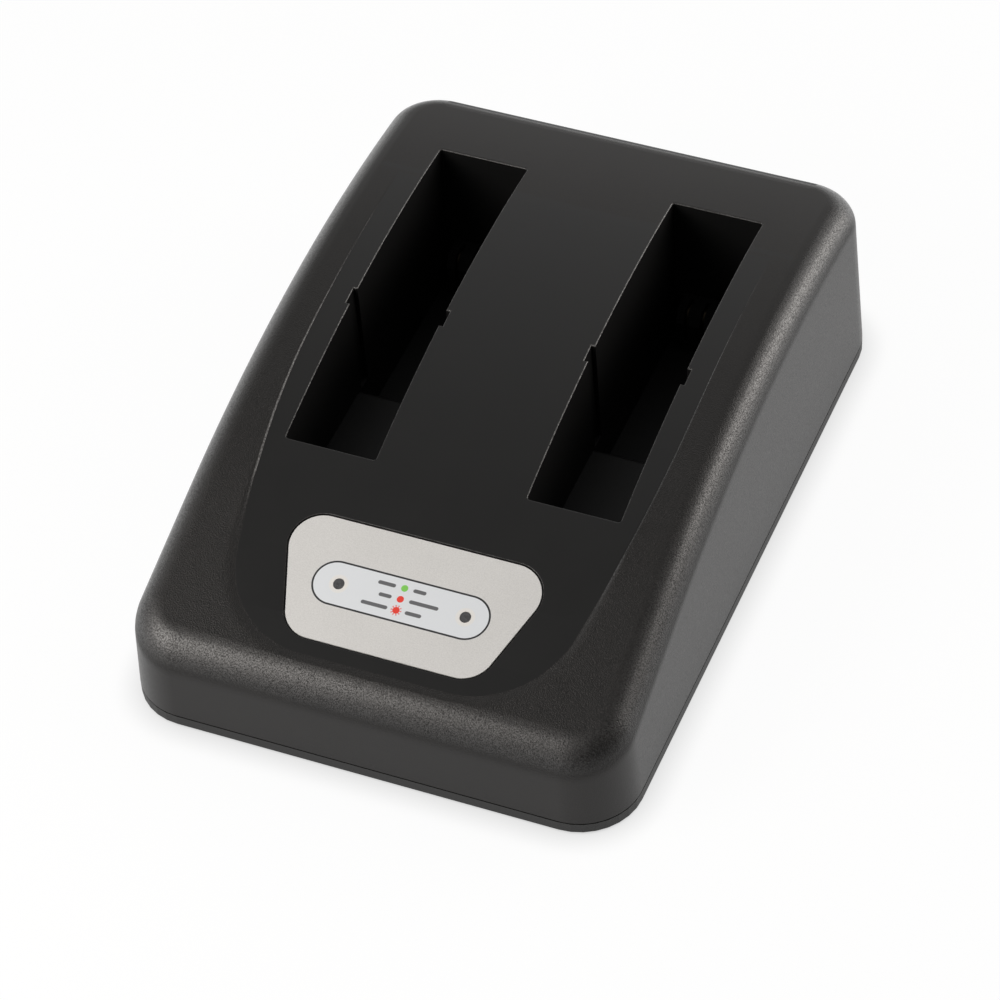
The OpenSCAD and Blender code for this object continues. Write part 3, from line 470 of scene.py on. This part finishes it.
def bayHalfLoop(offset, stations=40):
    hw, rc = bay["w"] / 2, bay["cornerR"]
    r, turns = rc + offset, quarterTurn(bay["cornerSteps"])
    half = [(hw - rc + r * math.sin(a), bayY0 + rc - r * math.cos(a)) for a in turns]
    ys = [bayY0 + rc + (bayY1 - bayY0 - 2 * rc) * i / stations for i in range(1, stations)]
    y0, y1 = ledgeY - offset, ledgeY + bay["keyLen"] + offset
    deep = hw + bay["keyDepth"] + offset
    half += [(hw + offset, y) for y in ys if y < ledgeY - mm]
    half += [(hw + offset, y0), (deep, y0), (deep, y1), (hw + offset, y1)]
    half += [(hw + offset, y) for y in ys if y > ledgeY + bay["keyLen"] + mm]
    half += [(hw - rc + r * math.cos(a), bayY1 - rc + r * math.sin(a)) for a in turns]
    return half


def taperAt(z):
    return -math.tan(math.radians(bay["draft"])) * (shell["caseH"] - z)


def bayMouthCutter(side):
    r = bay["mouthR"]
    rings = [[(x, y, ledgeZ) for x, y in bayHalfLoop(taperAt(ledgeZ))]]
    for a in quarterTurn(bay["mouthSteps"]):
        loop = bayHalfLoop(r * (1 - math.cos(a)))
        rings.append([(x, y, rimTop(y) - r * (1 - math.sin(a))) for x, y in loop])
    rings.append([(x, y, shell["caseH"] + shell["over"]) for x, y in bayHalfLoop(r)])
    shift = side * bay["x"]
    rings = [[(x + shift, y, z) for x, y, z in mirrored(ring)] for ring in rings]
    return loftRings("bayMouth", rings, True)


def bayDeepCutter(side):
    r = bay["ledgeR"]
    profile = [(ledgeY - r, ledgeZ + mm), (ledgeY - r, ledgeZ)]
    profile += [(ledgeY - r + r * math.sin(a), ledgeZ - r + r * math.cos(a))
                for a in quarterTurn(bay["ledgeSteps"])[1:]]
    profile += [(ledgeY, deepZ), (bayY1 + taperAt(deepZ), deepZ)]
    profile += [(bayY1 + taperAt(ledgeZ), ledgeZ + mm)]
    cx, hw = side * bay["x"], bay["w"] / 2
    sides = [[(cx + s * (hw + taperAt(z)), y, z) for y, z in profile] for s in (1, -1)]
    return loftRings("bayDeep", sides, True)


label = {
    "topHalf": 40.4 * mm,
    "lowHalf": 28.2 * mm,
    "len": 36.2 * mm,
    "front": 15.8 * mm,
    "r": 9 * mm,
    "seat": 0.6 * mm,
    "gap": 0.45 * mm,
    "seatEdge": 0.30 * mm,
}
labelLowV = (-caseD / 2 + label["front"] - slopeY) / math.cos(slopeA)


def slopePoint(x, v, lift):
    return (x, slopeY + v * math.cos(slopeA) - lift * math.sin(slopeA),
            slopeZ + v * math.sin(slopeA) + lift * math.cos(slopeA))


def labelLoop(offset, steps=14):
    r, reach = label["r"], label["r"] + offset
    lean = (label["topHalf"] - label["lowHalf"]) / label["len"]
    ends = []
    for v in (r, label["len"] - r):
        ends.append((label["lowHalf"] + lean * v - r * math.hypot(1, lean), labelLowV + v))
    (lowX, lowV), (topX, topV) = ends
    centres = [(lowX, lowV), (topX, topV), (-topX, topV), (-lowX, lowV)]
    points = []
    for k in range(4):
        before, here, after = centres[k - 1], centres[k], centres[(k + 1) % 4]
        a0 = math.atan2(here[1] - before[1], here[0] - before[0]) - math.pi / 2
        a1 = math.atan2(after[1] - here[1], after[0] - here[0]) - math.pi / 2
        while a1 < a0:
            a1 += 2 * math.pi
        for i in range(steps + 1):
            a = a0 + (a1 - a0) * i / steps
            points.append((here[0] + reach * math.cos(a), here[1] + reach * math.sin(a)))
    return points


def labelCutter():
    g, e = label["gap"], label["seatEdge"]
    levels = [(g, -label["seat"]), (g, -e), (g + e * 0.3, -e * 0.3), (g + e, 0.0)]
    levels += [(g + e, shell["over"])]
    rings = [[slopePoint(x, v, lift) for x, v in labelLoop(offset)] for offset, lift in levels]
    return loftRings("labelSeat", rings, True)


def bayTubs(side):
    cx, hw, wall = side * bay["x"], bay["w"] / 2 + bay["wall"], bay["wall"]
    y1, top = bayY1 + wall, shell["caseH"] + shell["over"]
    front = blockMesh("tub", (cx - hw, bayY0 - wall, ledgeZ - wall), (cx + hw, y1, top))
    deep = blockMesh("tub", (cx - hw, ledgeY - wall, deepZ - wall), (cx + hw, y1, ledgeZ))
    combine(front, deep, "UNION")
    return front


pipes = {"x": 18.7 * mm, "r": 1.6 * mm, "gap": 0.1 * mm, "from": 10 * mm, "to": 100 * mm,
         "sides": 32}
bosses = {"side": 11.2 * mm, "r": 4 * mm, "pilot": 1.45 * mm, "depth": 12 * mm, "padZ": 6 * mm,
          "pilotSides": 24}
inletGap = 0.2 * mm


def makeShell():
    b = shell["partingBreak"]
    shadowLine = [(b * 2, partingZ), (b * 2, partingZ + b), (b * 0.5, partingZ + b)]
    shadowLine += [(0, partingZ + b * 1.5)]
    body = loftRings("topShell", caseRings(0, shadowLine, **outerSteps))
    foot = [(0, partingZ - shell["over"])]
    hollow = loftRings("hollow", caseRings(shell["wall"], foot, **hollowSteps))
    for side in (-1, 1):
        combine(hollow, bayTubs(side))
    bossX, bossY = caseW / 2 - bosses["side"], caseD / 2 - bosses["side"]
    corners = [(i * bossX, j * bossY) for i in (-1, 1) for j in (-1, 1)]
    padZ, pilotTop = bosses["padZ"], bosses["padZ"] + bosses["depth"]
    for x, y in corners:
        combine(hollow, rodMesh("boss", x, y, padZ, 2 * shell["caseH"], bosses["r"]))
    combine(body, hollow)
    combine(body, panelCutter())
    for side in (-1, 1):
        combine(body, bayMouthCutter(side))
        combine(body, bayDeepCutter(side))
    combine(body, labelCutter())
    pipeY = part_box("light_pipe_left")[0].y + pipes["r"] - pipes["gap"]
    for side in (-1, 1):
        combine(body, rodMesh("pipeHole", side * pipes["x"], pipeY, pipes["from"], pipes["to"],
                              pipes["r"], pipes["sides"]))
    for x, y in corners:
        combine(body, rodMesh("pilot", x, y, 0, pilotTop, bosses["pilot"], bosses["pilotSides"]))
    near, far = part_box("mains_inlet")
    combine(body, blockMesh("inletCut", (near.x - inletGap, caseD / 2 - 2 * shell["wall"], 0),
                            (far.x + inletGap, caseD / 2 + mm, far.z + inletGap)))
    return body


def shadeByAngle(obj, degrees):
    mesh = obj.data
    for polygon in mesh.polygons:
        polygon.use_smooth = True
    mesh.set_sharp_from_angle(angle=math.radians(degrees))
    weigh = obj.modifiers.new("evenNormals", "WEIGHTED_NORMAL")
    weigh.keep_sharp = True
    weigh.weight = 80


panelLoop = panelHalfLoop(0)


def panelHalfAt(y):
    if y < -caseD / 2 + shell["panelFront"]:
        return -1
    for (x0, y0), (x1, y1) in zip(panelLoop, panelLoop[1:]):
        if y0 <= y <= y1:
            return x0 + (x1 - x0) * (y - y0) / max(y1 - y0, 1e-9)
    return shell["panelHalf"]


def panelTilt(y):
    if y < slopeY:
        return math.cos(slopeA)
    return math.sqrt(1 - ((y - crownY) / shell["archR"]) ** 2)


paint = {"edge": 0.02 * mm, "bayBelow": 0.8 * mm, "tilt": 0.02, "pastFade": 3 * mm}


def paintShell(obj, s):
    obj.data.materials.clear()
    for finish in (casePlastic, panelPlastic, bayPlastic):
        obj.data.materials.append(finish(plasticSettings))
    for polygon in obj.data.polygons:
        c, n = polygon.center, polygon.normal
        inPanel = abs(c.x) < panelHalfAt(c.y) + s["edge"]
        if inPanel and panelHeight(c.y) - c.z > s["bayBelow"]:
            polygon.material_index = 2
        elif inPanel and n.z > panelTilt(c.y) - s["tilt"] and c.y < fadeY + s["pastFade"]:
            polygon.material_index = 1
        else:
            polygon.material_index = 0


topShell = makeShell()
shadeByAngle(topShell, shell["smoothUnder"])
paintShell(topShell, paint)
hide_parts("top_shell")
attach(topShell, "root")
print("top shell made:", len(topShell.data.polygons), "faces")


# Label film: silver speckle with a pale field for the lamps, its outline, dots and bars

labelPrint = {
    "fieldHalf": 26.1 * mm,
    "fieldX": -0.35 * mm,
    "fieldR": 6.7 * mm,
    "line": 0.27 * mm,
    "silver": rgb(0.74, 0.735, 0.72),
    "silverDark": rgb(0.59, 0.585, 0.57),
    "field": rgb(0.75, 0.78, 0.81),
    "ink": rgb(0.016, 0.016, 0.018),
    "cream": rgb(0.82, 0.79, 0.74),
    "green": rgb(0.22, 0.62, 0.10),
    "red": rgb(0.82, 0.05, 0.03),
    "ringR": 2.8 * mm,
    "dotX": -0.5 * mm,
    "dotR": 1.0 * mm,
    "rayR": 1.6 * mm,
    "barHalf": 0.55 * mm,
    "barGap": 2.6 * mm,
    "soft": 0.05 * mm,
    "depth": 0.04 * mm,
    "speckScale": 3000.0,
    "cloudScale": 45.0,
    # height on the film, colour of the dot, length of the bar to its left and to its right
    "rows": [
        (3.6 * mm, "green", 5.2 * mm, 3.8 * mm),
        (0.2 * mm, "red", 3.8 * mm, 8.6 * mm),
        (-3.2 * mm, "red", 7.8 * mm, 4.8 * mm),
    ],
}


def labelFilm(s):
    m = newShader("labelFilm")
    spot, (x, y, _) = m.place()
    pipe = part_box("light_pipe_left")
    centreY = (pipe[0].y + pipe[1].y) / 2
    v = (y - centreY) / math.cos(slopeA)
    fine, cloud = m.noise(spot, s["speckScale"], 3.0, 0.7), m.noise(spot, s["cloudScale"], 3.0)
    colour = m.mix(m.ramp(fine, 0.35, 0.65) * 0.6 + cloud * 0.4, s["silverDark"], s["silver"])

    def inside(distance):
        return 1 - m.ramp(distance, -s["soft"], s["soft"])

    def length(a, b):
        return m.maths("SQRT", a * a + b * b)

    flat = m.largest(abs(x - s["fieldX"]) - (s["fieldHalf"] - s["fieldR"]), 0.0)
    field = length(flat, v) - s["fieldR"]
    colour = m.mix(inside(field), colour, s["field"])
    colour = m.mix(inside(abs(field + s["line"]) - s["line"]), colour, s["ink"])
    lamp = length(abs(x) - pipes["x"], v)
    fade = m.ramp(lamp, 0.7 * s["ringR"], 1.05 * s["ringR"])
    ring = inside(lamp - s["ringR"]) * (1 - fade * 0.6)
    colour = m.mix(ring * 0.8, colour, s["cream"])
    for rowV, ink, leftLen, rightLen in s["rows"]:
        across, up = x - s["dotX"], v - rowV
        out = length(across, up)
        colour = m.mix(inside(out - s["dotR"]), colour, s[ink])
        if rowV < 0:  # rays of the blinking lamp
            turn = m.maths("COSINE", m.maths("ARCTAN2", up, across) * 10.0)
            rays = inside(out - s["rayR"]) * m.ramp(turn, -0.1, 0.3)
            colour = m.mix(rays * 0.7, colour, s[ink])
        for side, long in ((-1, leftLen), (1, rightLen)):
            middle = side * (s["barGap"] + long / 2)
            bar = m.largest(abs(across - middle) - (long / 2 - s["barHalf"]), 0.0)
            colour = m.mix(inside(length(bar, up) - s["barHalf"]) * 0.85, colour, s["ink"])
    return m.finish(Base_Color=colour, Roughness=fine * 0.15 + 0.42,
                    Normal=m.bump(fine, 0.25, s["depth"]))


# Plain finishes of the smaller pieces

def plainFinish(name, dark, light, scale, rough, depth, **more):
    m = newShader(name)
    spot, _ = m.place()
    fine = m.noise(spot, scale, 3.0)
    return m.finish(Base_Color=m.mix(fine, dark, light), Roughness=fine * 0.12 + rough,
                    Normal=m.bump(fine, 0.3, depth), **more)


# dark and light colour, scale of the speckle, roughness, depth of the bump in metres
finishes = {
    "basePlastic": (rgb(0.010, 0.0097, 0.0095), rgb(0.014, 0.0136, 0.0132), 3000, 0.46, 0.00004),
    "smokedWindow": (rgb(0.060, 0.060, 0.062), rgb(0.080, 0.080, 0.084), 900, 0.22, 0.00001),
    "lampBody": (rgb(0.75, 0.74, 0.70), rgb(0.85, 0.84, 0.80), 900, 0.4, 0.00002),
    "boardLaminate": (rgb(0.03, 0.16, 0.06), rgb(0.05, 0.22, 0.09), 700, 0.35, 0.00003),
    "blockPlastic": (rgb(0.010, 0.010, 0.010), rgb(0.016, 0.016, 0.016), 2500, 0.5, 0.00004),
    # the contact block is darker than the other black parts and the contacts are near-black metal:
    # painted shade deep in the bays
    "contactBlock": (rgb(0.0040, 0.0040, 0.0040), rgb(0.0055, 0.0055, 0.0055), 2500, 0.5, 0.00004),
    "contactMetal": (rgb(0.060, 0.048, 0.034), rgb(0.080, 0.064, 0.045), 1200, 0.45, 0.00001),
    "brightSteel": (rgb(0.55, 0.56, 0.58), rgb(0.66, 0.67, 0.69), 1500, 0.25, 0.00001),
    "millAluminium": (rgb(0.66, 0.67, 0.69), rgb(0.76, 0.77, 0.79), 900, 0.32, 0.00002),
    "ivoryPlastic": (rgb(0.70, 0.66, 0.54), rgb(0.78, 0.74, 0.62), 1200, 0.45, 0.00003),
    "filmYellow": (rgb(0.66, 0.42, 0.04), rgb(0.74, 0.50, 0.07), 1200, 0.35, 0.00003),
    "copperWinding": (rgb(0.42, 0.16, 0.05), rgb(0.60, 0.26, 0.09), 2600, 0.3, 0.0001),
    "ferriteGrey": (rgb(0.045, 0.045, 0.05), rgb(0.07, 0.07, 0.075), 1800, 0.55, 0.00005),
    "canSleeve": (rgb(0.010, 0.012, 0.07), rgb(0.014, 0.018, 0.10), 700, 0.25, 0.00002),
    "resistorCoat": (rgb(0.46, 0.34, 0.20), rgb(0.54, 0.42, 0.27), 1500, 0.5, 0.00004),
    "footRubber": (rgb(0.012, 0.012, 0.012), rgb(0.022, 0.022, 0.022), 2200, 0.7, 0.00006),
}
moreSockets = {
    "contactBlock": {"Specular_IOR_Level": 0.25},
    "contactMetal": {"Metallic": 1.0},
    "brightSteel": {"Metallic": 1.0},
    "millAluminium": {"Metallic": 1.0},
    "copperWinding": {"Metallic": 0.6},
}
nodeFinish = {
    "base_plate": "basePlastic",
    "label_plate": "labelFilm",
    "light_pipe_left": "smokedWindow", "light_pipe_right": "smokedWindow",
    "indicator_leds": "lampBody",
    "main_board": "boardLaminate",
    "contact_block_left": "contactBlock", "contact_block_right": "contactBlock",
    "contact_blades_left": "contactMetal", "contact_blades_right": "contactMetal",
    "mains_inlet": "blockPlastic", "inlet_pins": "brightSteel",
    "fuse_holder": "ivoryPlastic", "fuse": "brightSteel",
    "filter_capacitor": "filmYellow", "line_choke": "copperWinding",
    "bridge_rectifier": "blockPlastic", "bulk_capacitor": "canSleeve",
    "transformer_core": "ferriteGrey", "transformer_coil": "copperWinding",
    "input_heat_sink": "millAluminium", "output_heat_sink": "millAluminium",
    "switching_transistor": "blockPlastic", "output_rectifier": "blockPlastic",
    "heat_sink_screws": "brightSteel", "output_capacitors": "canSleeve",
    "output_inductor": "copperWinding", "charge_controller": "blockPlastic",
    "optocoupler": "blockPlastic", "sense_resistors": "resistorCoat",
    "board_screws": "brightSteel", "housing_screws": "brightSteel",
    "rubber_feet": "footRubber",
}


def dressNodes():
    made = {}
    for name, values in finishes.items():
        made[name] = plainFinish(name, *values, **moreSockets.get(name, {}))
    made["labelFilm"] = labelFilm(labelPrint)
    for node, finish in nodeFinish.items():
        slots = nodes[node].data.materials
        slots.clear()
        slots.append(made[finish])


dressNodes()
print("finishes set on", len(nodeFinish), "pieces")


# Studio

studio = {
    "floorSize": 12.0,
    "floor": rgb(0.94, 0.94, 0.94),
    "floorLit": rgb(0.97, 0.97, 0.965),
    "floorRough": 0.8,
    "floorCloudScale": 3.0,
    "floorGlow": 0.95,
    # painted contact shadow on the floor: grey of the glow near the case, reach and range of the
    # occlusion
    "contact": grey(0.68),
    "contactReach": 10 * mm,
    "contactRange": (0.25, 0.95),
    "sky": [(0.0, grey(0.85)), (0.3, grey(0.58)), (0.6, grey(0.35)), (0.9, grey(0.34)),
            (1.0, grey(0.36))],
    "rearWall": grey(0.38, 0.01),
    "rearFrom": (-0.2, 0.95, 0.2),
    "rearRange": (0.3, 0.8),
    "flagFrom": (0.72, -0.60, 0.35),  # a dark flag to the front right
    "flagRange": (0.3, 0.85),
    "flagDepth": 0.85,
    "lamps": {
        # directions of the two ends, distance, width, power, colour
        "frontLamp": ((-52, 35), (-31, 35), 0.70, 0.37, 2.85, (1.0, 0.955, 0.91)),
        "rightStrip": ((141, 10), (107, 40), 0.90, 0.28, 3.5, (1.0, 0.955, 0.91)),
    },
}


def makeFloor(s):
    h = s["floorSize"] / 2
    floor = newObject("floor", [(-h, -h, 0), (h, -h, 0), (h, h, 0), (-h, h, 0)], [(0, 1, 2, 3)])
    m = newShader("paleFloor")
    spot, _ = m.place()
    pale = m.mix(m.noise(spot, s["floorCloudScale"]), s["floor"], s["floorLit"])
    base = m.node("BsdfPrincipled", None, {"Base Color": pale, "Roughness": s["floorRough"]})
    # painted contact shadow: the glow colour turns grey where the case is near
    near = m.node("AmbientOcclusion", {"samples": 16}, {"Distance": s["contactReach"]}, out=1)
    paintedShadow = m.mix(m.ramp(near, *s["contactRange"]), s["contact"], grey(1.0))
    glow = m.node("Emission", None, {"Color": paintedShadow, "Strength": 1.0})
    seen = m.node("LightPath", out="Is Camera Ray")
    for ray in ("Is Glossy Ray", "Is Transmission Ray"):
        seen = m.largest(seen, m.node("LightPath", out=ray))
    both = m.node("MixShader", None, {0: seen * s["floorGlow"], 1: base, 2: glow})
    m.node("OutputMaterial", None, {"Surface": both})
    floor.data.materials.append(m.owner)


def makeWorld(s):
    m = Shader(bpy.data.worlds.new("softRoom"))
    x, y, z = m.parts(m.node("TexCoord", out="Generated"))
    level = m.node("ValToRGB", {"stops": s["sky"]}, {0: z})

    def toward(direction):
        return x * direction[0] + y * direction[1] + z * direction[2]

    def scaled(colour, amount):
        return m.node("VectorMath", {"operation": "SCALE"}, {0: colour, "Scale": amount})

    flag = m.ramp(toward(s["flagFrom"]), *s["flagRange"])
    rear = m.ramp(toward(s["rearFrom"]), *s["rearRange"])
    shaded = scaled(level, 1 - flag * s["flagDepth"])
    lit = scaled(s["rearWall"][:3], rear)
    total = m.node("VectorMath", {"operation": "ADD"}, {0: shaded, 1: lit})
    sky = m.node("Background", None, {"Color": total, "Strength": 1.0})
    m.node("OutputWorld", None, {"Surface": sky})
    bpy.context.scene.world = m.owner


def makeLamp(name, start, end, distance, width, power, colour):
    a, b = directionTo(*start) * distance, directionTo(*end) * distance
    back = (a + b).normalized()
    along = (b - a).normalized()
    along = (along - back * along.dot(back)).normalized()
    data = bpy.data.lights.new(name, "AREA")
    data.shape, data.size, data.size_y = "RECTANGLE", (b - a).length + width / 2, width
    data.energy, data.color = power, colour
    lamp = bpy.data.objects.new(name, data)
    lamp.location = (a + b) / 2
    lamp.rotation_euler = Matrix((along, back.cross(along), back)).transposed().to_euler()
    bpy.context.scene.collection.objects.link(lamp)


makeCamera(cameraSettings)
makeFloor(studio)
makeWorld(studio)
for lampName, lampValues in studio["lamps"].items():
    makeLamp(lampName, *lampValues)
bpy.context.scene.view_settings.view_transform = "Standard"
print("studio set")
